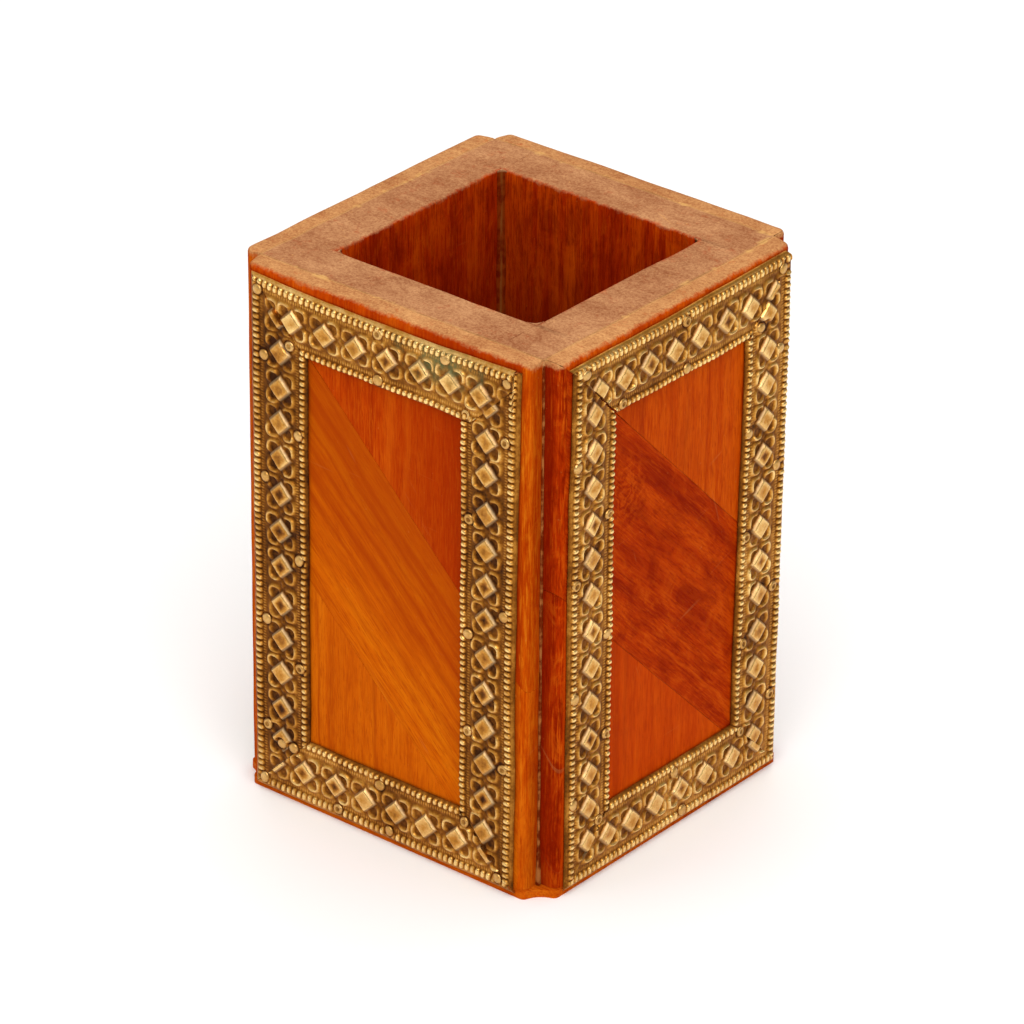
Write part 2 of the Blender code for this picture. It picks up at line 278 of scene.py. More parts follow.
class Nodes:
    # a short way to add and link nodes in one tree
    def __init__(self, tree):
        self.tree = tree

    def feed(self, socket, value):
        # a socket or a node's first output is linked. Three numbers on a colour socket are 0 to 255.
        if isinstance(value, bpy.types.Node):
            value = value.outputs[0]
        if isinstance(value, bpy.types.NodeSocket):
            self.tree.links.new(value, socket)
        elif socket.type == "RGBA" and len(value) == 3:
            socket.default_value = srgb(value)
        else:
            socket.default_value = value

    def drive(self, node, inputs):
        for key, value in inputs.items():
            self.feed(node.inputs[key], value)
        return node

    def add(self, kind, inputs=None, **settings):
        node = self.tree.nodes.new(kind)
        for name, value in settings.items():
            setattr(node, name, value)
        return self.drive(node, inputs or {})

    def math(self, operation, *values, clamp=False):
        inputs = dict(enumerate(values))
        return self.add("ShaderNodeMath", inputs, operation=operation, use_clamp=clamp).outputs[0]

    def plus(self, total, *others):
        for other in others:
            total = self.math("ADD", total, other)
        return total

    def minus(self, first, second):
        return self.math("SUBTRACT", first, second)

    def times(self, first, second):
        return self.math("MULTIPLY", first, second)

    def unsigned(self, value):
        return self.math("ABSOLUTE", value)

    def ramp(self, value, low, high, toLow=0.0, toHigh=1.0):
        # straight from low to high, held at both ends
        inputs = {"Value": value, "From Min": low, "From Max": high, "To Min": toLow, "To Max": toHigh}
        return self.add("ShaderNodeMapRange", inputs, clamp=True).outputs["Result"]

    def swing(self, value, reach, low=0.3):
        # a noise as an offset of up to reach either way
        return self.ramp(value, low, 1 - low, -reach, reach)

    def blend(self, share, first, second):
        inputs = {"Factor": share, "A": first, "B": second}
        return self.add("ShaderNodeMix", inputs, data_type="RGBA", clamp_factor=True).outputs["Result"]

    def tint(self, colour, other, value, low, high, strength=1.0):
        # from the colour at low towards the other at high
        return self.blend(self.ramp(value, low, high, 0, strength), colour, other)

    def colours(self, value, *stops):
        # stops are (place, colour), from low to high
        node = self.add("ShaderNodeValToRGB", {"Fac": value})
        elements = node.color_ramp.elements
        for place, colour in stops[1:-1]:
            elements.new(place).color = srgb(colour)
        for element, (place, colour) in ((elements[0], stops[0]), (elements[-1], stops[-1])):
            element.position, element.color = place, srgb(colour)
        return node.outputs["Color"]

    def split(self, vector):
        return self.add("ShaderNodeSeparateXYZ", {"Vector": vector}).outputs

    def stretch(self, vector, scale=(1, 1, 1), turn=(0, 0, 0), shift=(0, 0, 0)):
        inputs = {"Vector": vector, "Location": shift, "Rotation": turn, "Scale": scale}
        return self.add("ShaderNodeMapping", inputs).outputs["Vector"]

    def noise(self, vector, scale, detail=4.0, roughness=0.5, distortion=0.0):
        # scale is one number, or three where the noise is stretched
        if isinstance(scale, tuple):
            vector, scale = self.stretch(vector, scale), 1.0
        inputs = {"Vector": vector, "Scale": scale, "Detail": detail, "Roughness": roughness,
                  "Distortion": distortion}
        return self.add("ShaderNodeTexNoise", inputs).outputs["Fac"]

    def noises(self, vector, settings):
        return (self.noise(vector, *each) for each in settings.values())

    def distance(self, vector, point):
        return self.add("ShaderNodeVectorMath", {0: vector, 1: point}, operation="DISTANCE").outputs["Value"]

    def objectPlace(self):
        return self.add("ShaderNodeTexCoord").outputs["Object"]

    def attribute(self, name):
        return self.add("ShaderNodeAttribute", attribute_name=name, attribute_type="GEOMETRY").outputs["Fac"]

    def bump(self, height, strength, distance=0.1 * mm):
        return self.add("ShaderNodeBump", {"Strength": strength, "Distance": distance, "Height": height})

    def group(self, tree, **inputs):
        return self.add("ShaderNodeGroup", inputs, node_tree=tree)


def newMaterial(name):
    material = bpy.data.materials.new(name)
    material.use_nodes = True
    tree = material.node_tree
    return material, Nodes(tree), tree.nodes["Principled BSDF"]


def newGroup(name, inputs, outputs):
    # inputs are name: default, where None is a vector and four numbers are a colour
    tree = bpy.data.node_groups.new(name, "ShaderNodeTree")
    kinds = {type(None): "NodeSocketVector", tuple: "NodeSocketColor", float: "NodeSocketFloat"}
    for label, default in inputs.items():
        socket = tree.interface.new_socket(label, in_out="INPUT", socket_type=kinds[type(default)])
        if default is not None:
            socket.default_value = default
    for label in outputs:
        kind = kinds[tuple if label == "Colour" else float]
        tree.interface.new_socket(label, in_out="OUTPUT", socket_type=kind)
    nodes = Nodes(tree)
    return tree, nodes, nodes.add("NodeGroupInput").outputs, nodes.add("NodeGroupOutput")


# Wood

woodLook = {
    "gloss": 0.38, "rimGloss": 0.6,
    "specular": 0.007,           # an old varnish, less bright than new
    "endSpecular": 0.001,        # on the rough ends of the boards
    "sheen": (255, 175, 75),
    "scratched": (0.18, 0.8),    # on the faces and on the rim
    "streakSway": 1.2 * mm,
    "shadeSway": 6 * mm,
    "notchDepth": 0.3 * mm,      # where the painted shade in the corner notch begins
    "margin": (1.6 * mm, 1.2 * mm),      # widths between which the end margins of a board fade out
    "scratch": (222, 160, 92),
    "chip": (216, 166, 98),
    "dirt": (96, 52, 26),
    "bump": 0.25,
}
grainNoise = {
    # stretch across and along the grain, detail, roughness, distortion
    "bands": ((110, 110, 8), 3.0, 0.55, 0.7),
    "figure": ((520, 520, 22), 4.0, 0.6, 0.4),
    "fibres": ((3000, 3000, 210), 3.0, 0.65),
    "pores": ((4200, 4200, 520), 2.0),
    "patches": ((160, 160, 70), 3.0, 0.6),
    "blotches": ((230, 230, 120), 6.0, 0.72, 0.8),      # where the varnish is uneven
}
rimNoise = {
    "ragged": (420, 4.0, 0.7),
    "stipple": (2300, 2.0),
    "cloud": (75, 4.0, 0.6, 0.5),
    "grit": (2400, 3.0, 0.7),
    "smear": ((160, 420, 160), 4.0, 0.6, 0.8),
    "chips": (230, 3.0, 0.6),
    "dirt": (120, 3.0, 0.6),
}
rimWorn = {
    "inFrom": 0.8 * mm,                     # nearer to a face than this, the top counts as less worn
    "ragged": 0.5 * mm, "stipple": 0.2 * mm,
    "fade": 0.55 * mm,
    "joint": 0.15 * mm,                     # beyond the core
    # how far from the joint each effect ends, and where it is full
    "line": (0.4 * mm, 0.1 * mm),
    "chips": (0.95 * mm, 0.3 * mm),
    "dirt": (0.35 * mm, 0.05 * mm),
}
black, grey, white = (0.0, 0.0, 0.0, 1.0), (0.5, 0.5, 0.5, 1.0), (1.0, 1.0, 1.0, 1.0)


def makeGrainGroup():
    # grain runs along the Z of Vector, which is in metres
    group, nodes, given, out = newGroup(
        "woodGrain",
        {"Vector": None, "Deep": black, "Middle": grey, "Pale": white, "Flecks": 0.5, "Mottle": 0.3},
        ("Colour", "Fibres"))
    deep, middle, pale = (given[label] for label in ("Deep", "Middle", "Pale"))
    bands, figure, fibres, pores, patches, blotches = nodes.noises(given["Vector"], grainNoise)
    tone = nodes.plus(nodes.ramp(bands, 0.25, 0.75, 0, 0.6), nodes.ramp(figure, 0.3, 0.7, 0, 0.4))
    colour = nodes.tint(deep, middle, tone, 0.1, 0.5)
    colour = nodes.tint(colour, pale, tone, 0.5, 1.0, 0.7)
    paleFibre = nodes.times(nodes.ramp(fibres, 0.50, 0.64), given["Flecks"])
    paleFibre = nodes.times(paleFibre, nodes.ramp(patches, 0.35, 0.6, 0.35, 1))
    colour = nodes.blend(paleFibre, colour, pale)
    colour = nodes.tint(colour, deep, fibres, 0.48, 0.32, 0.6)
    colour = nodes.tint(colour, deep, pores, 0.58, 0.70, 0.5)
    dark = nodes.times(nodes.ramp(blotches, 0.52, 0.36), given["Mottle"])
    bright = nodes.times(nodes.ramp(blotches, 0.54, 0.70), given["Mottle"])
    colour = nodes.blend(nodes.times(bright, 0.7), nodes.blend(dark, colour, deep), pale)
    relief = nodes.minus(nodes.ramp(fibres, 0.3, 0.7), nodes.ramp(pores, 0.6, 0.74))
    nodes.drive(out, {"Colour": colour, "Fibres": relief})
    return group


def makeStreakGroup():
    # one long streak along the grain, at Place across it, as a mask
    group, nodes, given, out = newGroup(
        "grainStreak", {"Vector": None, "Place": 0.0, "Width": 0.001}, ("Mask",))
    vector = given["Vector"]
    sway = nodes.noise(vector, (60, 60, 60), 2.0)
    breaks = nodes.noise(vector, (700, 700, 45), 3.0, 0.6)
    across = nodes.plus(nodes.split(vector)[0], nodes.swing(sway, woodLook["streakSway"], 0.2))
    share = nodes.math("DIVIDE", nodes.unsigned(nodes.minus(across, given["Place"])), given["Width"])
    mask = nodes.times(nodes.ramp(share, 1.6, 0.2), nodes.ramp(breaks, 0.3, 0.55, 0.25, 1))
    nodes.drive(out, {"Mask": mask})
    return group


def makeScratchGroup():
    # pale hairline scratches and specks, as a mask
    group, nodes, given, out = newGroup("scratches", {"Vector": None, "Amount": 0.5}, ("Mask",))
    vector = given["Vector"]
    mask = None
    for turn, shift in ((0.5, 0.0), (-0.9, 0.3), (1.3, 0.7)):
        turned = nodes.stretch(vector, turn=(turn, turn, turn))
        lines = nodes.noise(nodes.stretch(turned, (1100, 40, 40), shift=(shift, 0, 0)), 1.0, 2.0, 0.5, 0.4)
        line = nodes.ramp(lines, 0.71, 0.75)
        mask = line if mask is None else nodes.math("MAXIMUM", mask, line)
    specks = nodes.ramp(nodes.noise(vector, 1100, 3.0, 0.6), 0.69, 0.74)
    patches = nodes.ramp(nodes.noise(vector, 90, 2.0), 0.45, 0.65)
    mask = nodes.math("MAXIMUM", nodes.times(mask, patches), specks)
    nodes.drive(out, {"Mask": nodes.math("MULTIPLY", mask, given["Amount"], clamp=True)})
    return group


def makeRimGroup():
    # how worn the top edge is, and the colour of the worn top
    group, nodes, given, out = newGroup(
        "wornRim", {"Vector": None, "Deep": black, "Pale": white}, ("Colour", "Mask", "Grit"))
    vector, deep, pale = (given[label] for label in ("Vector", "Deep", "Pale"))
    ragged, stipple, cloud, grit, smear, chips, dirt = nodes.noises(vector, rimNoise)
    x, y, height = nodes.split(vector)
    fromMiddle = nodes.math("MAXIMUM", nodes.unsigned(x), nodes.unsigned(y))
    fromFace = nodes.math("MINIMUM", nodes.minus(boardFace, fromMiddle), nodes.minus(fromMiddle, wellHalf))
    ontoTop = nodes.plus(nodes.minus(height, rim), nodes.math("MINIMUM", fromFace, rimWorn["inFrom"]),
                         nodes.swing(ragged, rimWorn["ragged"]), nodes.swing(stipple, rimWorn["stipple"]))
    tone = nodes.plus(nodes.ramp(cloud, 0.35, 0.65, 0, 0.45), nodes.ramp(smear, 0.35, 0.7, 0, 0.35),
                      nodes.ramp(grit, 0.35, 0.65, -0.15, 0.45))
    colour = nodes.tint(nodes.blend(tone, deep, pale), deep, grit, 0.45, 0.25, 0.4)
    # a thin pale line along the joint between the core and the boards, with larger chips and dark dirt
    fromJoint = nodes.unsigned(nodes.minus(fromMiddle, coreHalf + rimWorn["joint"]))
    colour = nodes.tint(colour, woodLook["chip"], fromJoint, *rimWorn["line"], 0.3)
    chipped = nodes.times(nodes.ramp(fromJoint, *rimWorn["chips"]), nodes.ramp(chips, 0.59, 0.66))
    colour = nodes.blend(nodes.times(chipped, 0.7), colour, woodLook["chip"])
    dirty = nodes.times(nodes.ramp(fromJoint, *rimWorn["dirt"]), nodes.ramp(dirt, 0.50, 0.40))
    colour = nodes.blend(nodes.times(dirty, 0.3), colour, woodLook["dirt"])
    mask = nodes.ramp(ontoTop, -rimWorn["fade"], rimWorn["fade"])
    nodes.drive(out, {"Colour": colour, "Mask": mask, "Grit": grit})
    return group


woodGrain = makeGrainGroup()
grainStreak = makeStreakGroup()
scratches = makeScratchGroup()
wornRim = makeRimGroup()


def addGrain(nodes, vector, tones, flecks, mottle):
    deep, middle, pale = tones
    return nodes.group(woodGrain, Vector=vector, Deep=deep, Middle=middle, Pale=pale, Flecks=flecks,
                       Mottle=mottle)


knotLook = {
    "squash": 0.8,           # taller than wide
    "wobble": (240, 4.0, 0.6),
    "wobbleReach": 5 * mm,
    "ringScale": 3600,       # radians to the metre
}


def addKnot(nodes, onFront, colour, knot, deep, pale):
    # rings round a knot at (x, z) on the side's face, in mm, fading out at its reach
    x, z, reach = knot
    squash = knotLook["squash"]
    far = nodes.distance(nodes.stretch(onFront, (1, 0, squash)), (x * mm, 0, z * mm * squash))
    wobble = nodes.swing(nodes.noise(onFront, *knotLook["wobble"]), knotLook["wobbleReach"], 0)
    rings = nodes.math("SINE", nodes.times(nodes.plus(far, wobble), knotLook["ringScale"]))
    near = nodes.ramp(far, reach * mm, 0.3 * reach * mm)
    colour = nodes.blend(nodes.times(nodes.ramp(rings, 0.1, 0.9, 0, 0.25), near), colour, pale)
    return nodes.blend(nodes.times(nodes.ramp(rings, -0.2, -0.9, 0, 0.4), near), colour, deep)


def woodMaterial(name, look, rimTones, side="front", lean=0, shift=(0, 0, 0), margin=None):
    # look has the deep, middle and pale tones. The grain is upright, or leans by so many degrees on its
    # side. A streak is (place across the grain in mm, width in mm, strength), and pale if below nought.
    material, nodes, shader = newMaterial(name)
    place = nodes.objectPlace()
    onFront = nodes.stretch(place, turn=(0, 0, math.radians(-sideTurns[side])))
    along = nodes.stretch(onFront, turn=(0, math.radians(lean), 0))
    deep, _, pale = look["tones"]
    grain = addGrain(nodes, nodes.stretch(along, shift=shift), look["tones"], look.get("flecks", 0.4),
                     look.get("mottle", 0.25))
    colour = grain.outputs["Colour"]
    if "shade" in look:
        low, high, strength = look["shade"]
        wave = nodes.noise(nodes.stretch(along, (90, 90, 25), shift=shift), 1.0, 3.0)
        across = nodes.plus(nodes.split(along)[0], nodes.swing(wave, woodLook["shadeSway"], 0.2))
        colour = nodes.tint(colour, deep, across, low * mm, high * mm, strength)
    for where, width, strength in look.get("streaks", ()):
        streak = nodes.group(grainStreak, Vector=along, Place=where * mm, Width=width * mm)
        colour = nodes.blend(nodes.times(streak, abs(strength)), colour, deep if strength > 0 else pale)
    if "knot" in look:
        colour = addKnot(nodes, onFront, colour, look["knot"], deep, pale)
    if "fade" in look:
        # painted shade: deeper towards the bottom of the well
        low, high, strength = look["fade"]
        colour = nodes.tint(colour, deep, nodes.split(place)[2], high * mm, low * mm, strength)
    if margin:
        # both ends of a board and their margins, where the grain is upright and a painted shade darkens the
        # ends deeper in the notch
        x, y, _ = nodes.split(onFront)
        border = addGrain(nodes, nodes.stretch(onFront, shift=shift), margin["tones"], 0.6, margin["mottle"])
        notchShadeMask = nodes.ramp(y, -boardFace + woodLook["notchDepth"], -boardBack)
        notchShadeMask = nodes.times(notchShadeMask, nodes.ramp(x, -boardFace, boardFace, *margin["notchShade"]))
        border = nodes.blend(notchShadeMask, border, margin["notchShadeColour"])
        onEdge = nodes.ramp(nodes.unsigned(x), *(coreHalf - width for width in woodLook["margin"]))
        colour = nodes.blend(onEdge, colour, border)
        specular = nodes.ramp(onEdge, 0, 1, woodLook["specular"], woodLook["endSpecular"])
        nodes.drive(shader, {"Specular IOR Level": specular})
    top = nodes.group(wornRim, Vector=place, Deep=rimTones[0], Pale=rimTones[1])
    onTop = top.outputs["Mask"]
    colour = nodes.blend(onTop, colour, top.outputs["Colour"])
    marks = nodes.group(scratches, Vector=place, Amount=nodes.ramp(onTop, 0, 1, *woodLook["scratched"]))
    colour = nodes.blend(nodes.times(marks, 0.55), colour, woodLook["scratch"])
    fibres = grain.outputs["Fibres"]
    gloss = nodes.plus(nodes.ramp(onTop, 0, 1, woodLook["gloss"], woodLook["rimGloss"]),
                       nodes.times(marks, 0.2), nodes.ramp(fibres, 0, 1, 0.06, 0))
    relief = nodes.plus(nodes.times(fibres, 0.5), nodes.times(top.outputs["Grit"], onTop))
    shader.inputs["Specular IOR Level"].default_value = woodLook["specular"]      # unless mapped above
    nodes.drive(shader, {"Base Color": colour, "Roughness": gloss, "Specular Tint": woodLook["sheen"],
                         "Normal": nodes.bump(relief, woodLook["bump"])})
    return material


# Brass

brassLook = {
    # shine at which each tone stands, from grime and painted shade to rubbed metal and painted highlight
    "stops": (0.05, 0.30, 0.55, 0.95),
    "tones": ((62, 29, 4), (133, 78, 22), (194, 134, 54), (248, 210, 136)),
    "nailTones": ((60, 30, 6), (142, 94, 40), (196, 146, 76), (236, 200, 136)),
    "cloud": (240, 4.0, 0.6), "cloudShare": 0.12,
    "grit": (1900, 3.0, 0.65), "gritShare": 0.08,
    # low and high shine, with the value at each
    "metal": (0.05, 0.35, 0.6, 1.0),
    "gloss": (0.2, 0.85, 0.6, 0.25),
    "flank": (214, 186, 138), "flankShare": 0.65,
    "verdigris": (92, 104, 66),
    "spotStretch": (0.55, 0.2, 1),
    "spotPlace": (0.0072, -0.0070, 0.0972),      # stretched as well
    "spotReach": (0.0046, 0.0022),
    "spotSway": 2.2 * mm,
}


def brassMaterial(name, tones, spotted=False):
    # the mesh's attribute "shine" is 0 in the hollows and 1 on what hands rub, with painted highlight and
    # painted shade added in places
    material, nodes, shader = newMaterial(name)
    place = nodes.objectPlace()
    cloud = nodes.noise(place, *brassLook["cloud"])
    grit = nodes.noise(place, *brassLook["grit"])
    shine = nodes.plus(nodes.attribute("shine"), nodes.swing(cloud, brassLook["cloudShare"]),
                       nodes.swing(grit, brassLook["gritShare"]))
    colour = nodes.colours(shine, *zip(brassLook["stops"], tones))
    metal = nodes.ramp(shine, *brassLook["metal"])
    gloss = nodes.ramp(shine, *brassLook["gloss"])
    # the sloping sides of the studs are greyer, with a soft broad gleam
    onFlank = nodes.times(nodes.attribute("flank"), brassLook["flankShare"])
    colour = nodes.blend(onFlank, colour, brassLook["flank"])
    if spotted:
        away = nodes.distance(nodes.stretch(place, brassLook["spotStretch"]), brassLook["spotPlace"])
        away = nodes.plus(away, nodes.swing(cloud, brassLook["spotSway"]))
        green = nodes.ramp(away, *brassLook["spotReach"])
        green = nodes.times(green, nodes.ramp(shine, 0.8, 0.45))
        colour = nodes.blend(nodes.times(green, 0.8), colour, brassLook["verdigris"])
        metal = nodes.times(metal, nodes.ramp(green, 0, 1, 1, 0.2))
        gloss = nodes.plus(gloss, nodes.times(green, 0.3))
    nodes.drive(shader, {"Base Color": colour, "Metallic": metal, "Roughness": gloss,
                         "Specular IOR Level": 0.1, "Normal": nodes.bump(grit, 0.3, 0.05 * mm)})
    return material


stripBrass = brassMaterial("stripBrass", brassLook["tones"])
spottedBrass = brassMaterial("spottedBrass", brassLook["tones"], spotted=True)
nailBrass = brassMaterial("nailBrass", brassLook["nailTones"])
print("materials ready")


# Side boards: one board, cut on its two seams, copied to the four sides

boardFinish = {
    "rimTones": ((156, 94, 54), (210, 152, 96)),
    "front": {
        # notchShade is how dark the painted shade makes the left and the right end in the corner notch
        "margin": {"tones": ((144, 38, 1), (190, 76, 4), (212, 120, 20)), "mottle": 0.45,
                   "notchShadeColour": (122, 20, 1), "notchShade": (0.15, 0.45)},
        "upper": {"tones": ((146, 36, 1), (182, 62, 2), (206, 96, 12)), "flecks": 0.5,
                  "shade": (-7, 13, 0.55),
                  "streaks": ((0.8, 0.9, -0.3), (4.6, 0.7, -0.25), (-6.5, 0.8, 0.3))},
        "middle": {"tones": ((160, 56, 3), (198, 90, 4), (218, 124, 10)), "flecks": 0.25,
                   "shade": (26, 46, 0.65),
                   "streaks": ((45.5, 0.5, 0.6), (43.5, 0.5, 0.75), (41.0, 0.3, 0.6), (38.5, 0.6, 0.75),
                               (35.0, 0.8, 0.65), (32.0, 0.4, 0.5), (29.5, 1.0, 0.45),
                               (26.0, 0.7, 0.35), (20.5, 0.5, 0.3))},
        "lower": {"tones": ((162, 60, 3), (194, 86, 4), (214, 114, 12)), "flecks": 0.3,
                  "streaks": ((-2.2, 0.45, 0.7), (-15.4, 0.2, 0.8), (-10.5, 0.8, 0.25))},
    },
    "right": {
        "margin": {"tones": ((104, 12, 1), (164, 44, 2), (204, 92, 14)), "mottle": 0.8,
                   "notchShadeColour": (122, 20, 1), "notchShade": (0.9, 0.5)},
        "upper": {"tones": ((146, 40, 2), (180, 62, 2), (210, 96, 12)), "flecks": 0.45,
                  "streaks": ((-9.3, 0.4, 0.6), (8.6, 0.35, 0.55), (2.5, 0.5, 0.3))},
        "middle": {"tones": ((122, 22, 1), (165, 46, 1), (204, 84, 8)), "flecks": 0.4, "mottle": 0.6,
                   "knot": (-13.2, 71, 7),
                   "streaks": ((46.5, 1.0, 0.6), (40.0, 0.8, 0.3), (33.0, 1.2, 0.3), (24.5, 0.3, -0.35))},
        "lower": {"tones": ((154, 44, 2), (184, 60, 2), (208, 90, 10)), "flecks": 0.25,
                  "streaks": ((-12.6, 0.7, 0.5), (-5.0, 0.5, 0.25))},
    },
}
boardFinish["back"] = boardFinish["right"]
boardFinish["left"] = boardFinish["front"]

board = {
    "edgeRadius": 1.4 * mm,
    "rimRadius": 0.8 * mm,
    "slice": 2.6 * mm,
    "seamGap": 0.06 * mm,
    "seed": 4,
    "wear": 0.08 * mm,       # how far the faces wander
    "wearScale": 90,         # waves to the metre
    "rimWear": 0.25 * mm,    # more at the top edge
    "rimWearScale": 160,
    "rimWearDepth": 1.5 * mm,
}
upperSeam = frameTop - frameHalf                 # x + z along the upper seam, in line with the mitre
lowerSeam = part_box("front_lower_board")[1].x + boardFoot


def bisectPiece(piece, distance, keepAbove):
    normal = Vector((1, 0, 1)).normalized()
    startEdit(piece)
    bpy.ops.mesh.bisect(plane_co=normal * distance / math.sqrt(2), plane_no=normal, use_fill=True,
                        clear_inner=keepAbove, clear_outer=not keepAbove)
    endEdit()


noise.seed_set(board["seed"])        # without it noise_vector differs from run to run


def wearPiece(piece):
    # moves each vertex a little by smooth noise, and lets the top edge sag where it is worn.
    # Pieces that meet move alike, so their joints stay closed.
    for vertex in piece.data.vertices:
        place = vertex.co
        drift = noise.noise_vector(place * board["wearScale"]) * board["wear"]
        nearRim = max(0, 1 - (rim - place.z) / board["rimWearDepth"])
        dip = max(0, noise.noise(place * board["rimWearScale"])) * board["rimWear"] * nearRim
        vertex.co = place + drift - Vector((0, 0, dip))


def makeBoards():
    whole = addBlock("wholeBoard", (-coreHalf, -boardFace, boardFoot), (coreHalf, -boardBack, rim))
    sliceBlock(whole, board["slice"])

    def upright(a, b):
        return all(abs(p.y + boardFace) < touch and abs(abs(p.x) - coreHalf) < touch for p in (a, b))

    def top(a, b):
        onTop = all(abs(p.z - rim) < touch and p.y < -boardBack - touch for p in (a, b))
        rounded = coreHalf - board["edgeRadius"] - touch
        outside = all(abs(p.y + boardFace) < touch or abs(p.x) > rounded for p in (a, b))
        inward = abs(abs(a.x) - coreHalf) < touch and abs(abs(b.x) - coreHalf) < touch
        return onTop and outside and not inward and (a - b).length < board["slice"] * 1.2

    bevelEdges(whole, upright, board["edgeRadius"], 5)
    bevelEdges(whole, top, board["rimRadius"], 3)
    gap = board["seamGap"] / 2 * math.sqrt(2)
    cuts = {"upper": [(upperSeam + gap, True)],
            "middle": [(upperSeam - gap, False), (lowerSeam + gap, True)],
            "lower": [(lowerSeam - gap, False)]}
    for part, planes in cuts.items():
        model = duplicate(whole, part + "Board")
        for distance, keepAbove in planes:
            bisectPiece(model, distance, keepAbove)
        for number, side in enumerate(sideTurns):
            piece = duplicate(model, f"{side}_{part}_board_dressed")
            turnToSide(piece, side)
            wearPiece(piece)
            shadeSmooth(piece)
            material = woodMaterial(f"{side}_{part}_wood", boardFinish[side][part], boardFinish["rimTones"],
                                    side, 45 if part == "middle" else 0,
                                    (number * 0.31, 0, len(part) * 0.17), boardFinish[side]["margin"])
            finishPiece(piece, material, "board_wood", f"{side}_{part}_board")
        bpy.data.objects.remove(model)
    bpy.data.objects.remove(whole)


makeBoards()
print("side boards made")


# Core walls, which meet so closely that no joint shows on the rim

core = {
    "edgeRadius": 0.45 * mm,
    "slice": 2.6 * mm,
    "tuck": 0.05 * mm,          # how far the short walls run into the long ones
    "rimTones": ((142, 84, 52), (196, 141, 96)),
    "wood": {"tones": ((108, 12, 1), (166, 40, 1), (220, 94, 6)), "flecks": 0.22, "mottle": 0.5,
             "fade": (70, 99, 0.5)},      # heights in mm between which the well turns deeper, a painted shade
}


def makeWalls():
    for number, side in enumerate(sideTurns):
        long = side in ("left", "right")
        half = coreHalf if long else wellHalf + core["tuck"]
        inWell = wellHalf - core["edgeRadius"]
        wall = addBlock(f"{side}_wall_dressed", (-half, -coreHalf, boardFoot), (half, -wellHalf, rim))
        sliceBlock(wall, core["slice"], extra=(-inWell, inWell) if long else ())

        def topEdge(a, b):
            reach = (inWell if long else half) + touch
            return all(abs(p.z - rim) < touch and abs(p.y + wellHalf) < touch and abs(p.x) < reach
                       for p in (a, b))

        bevelEdges(wall, topEdge, core["edgeRadius"], 3)
        turnToSide(wall, side)
        wearPiece(wall)
        shadeSmooth(wall)
        material = woodMaterial(f"{side}_wall_wood", core["wood"], core["rimTones"], side, 0,
                                (number * 0.23, 0.4, 0.1))
        finishPiece(wall, material, "core_wood", f"{side}_wall")


makeWalls()
print("core walls made")


# Glue: thin lines between the core and the boards, beads in the corner notches, and fillets in the well

glue = {
    "rimDrop": 0.05 * mm,
    "seed": 77,
    "beadRadius": 0.28 * mm, "beadPitch": 3.5 * mm, "beadStop": 1.2 * mm,
    "beadGirth": (0.7, 1.1),
    "dustHeight": 8 * mm,         # how far up a notch the dust has gathered
    "dustGirth": 1.1,             # how much thicker a bead is at its foot
    "filletTop": 0.06 * mm,
    # radius of the fillet in each corner of the well, with the turn that takes it there
    "fillets": {0: 2.0 * mm, 270: 1.2 * mm, 90: 1.0 * mm, 180: 1.2 * mm},
    # tones, and the share of smears at which the first one ends
    "line": (((170, 112, 66), (206, 152, 98)), 0.3),
    "bead": (((104, 34, 6), (160, 98, 48)), 0.35),
    "fillet": (((104, 22, 2), (132, 50, 8)), 0.25),
    "crest": (134, 74, 28),       # the pale line down the middle of a fillet
    "crestReach": (0.45 * mm, 0.1 * mm),
    "worn": (0.5 * mm, 0.2 * mm),      # below the rim
    "smear": ((900, 900, 140), 4.0, 0.65),
    "patch": (420, 3.0, 0.6),
}


def glueMaterial(name, tones, coverage):
    # dull and patchy, smeared along Z
    material, nodes, shader = newMaterial(name)
    place = nodes.objectPlace()
    smear = nodes.noise(place, *glue["smear"])
    patch = nodes.noise(place, *glue["patch"])
    share = nodes.plus(nodes.ramp(smear, 0.35, 0.65, 0, 0.5), nodes.ramp(patch, 0.4, 0.62, 0, 0.5))
    colour = nodes.colours(share, (coverage, tones[0]), (coverage + 0.4, tones[1]))
    x, y, height = nodes.split(place)
    offCorner = nodes.unsigned(nodes.minus(nodes.unsigned(x), nodes.unsigned(y)))
    crest = nodes.times(nodes.ramp(offCorner, *glue["crestReach"]), nodes.ramp(smear, 0.40, 0.60))
    inWell = nodes.math("LESS_THAN", nodes.unsigned(x), wellHalf)
    colour = nodes.blend(nodes.times(crest, inWell), colour, glue["crest"])
    # its top is worn like the rim round it
    top = nodes.group(wornRim, Vector=place, Deep=core["rimTones"][0], Pale=core["rimTones"][1])
    colour = nodes.tint(colour, top.outputs["Colour"], height, *(rim - depth for depth in glue["worn"]))
    nodes.drive(shader, {"Base Color": colour, "Roughness": nodes.ramp(patch, 0.3, 0.7, 0.5, 0.75),
                         "Specular IOR Level": woodLook["specular"], "Normal": nodes.bump(share, 0.4)})
    return material


def aroundBox(makeOne, name, sides=sideTurns):
    # the same made on each side and joined in one piece
    pieces = []
    for side in sides:
        pieces.append(makeOne())
        turnToSide(pieces[-1], side)
    return joinPieces(pieces, name)


def makeGlueLine():
    high = (coreHalf, -coreHalf, rim - glue["rimDrop"])
    line = addBlock("glueLine", (-coreHalf, -boardBack, boardFoot), high)
    sliceBlock(line, board["slice"])
    return line


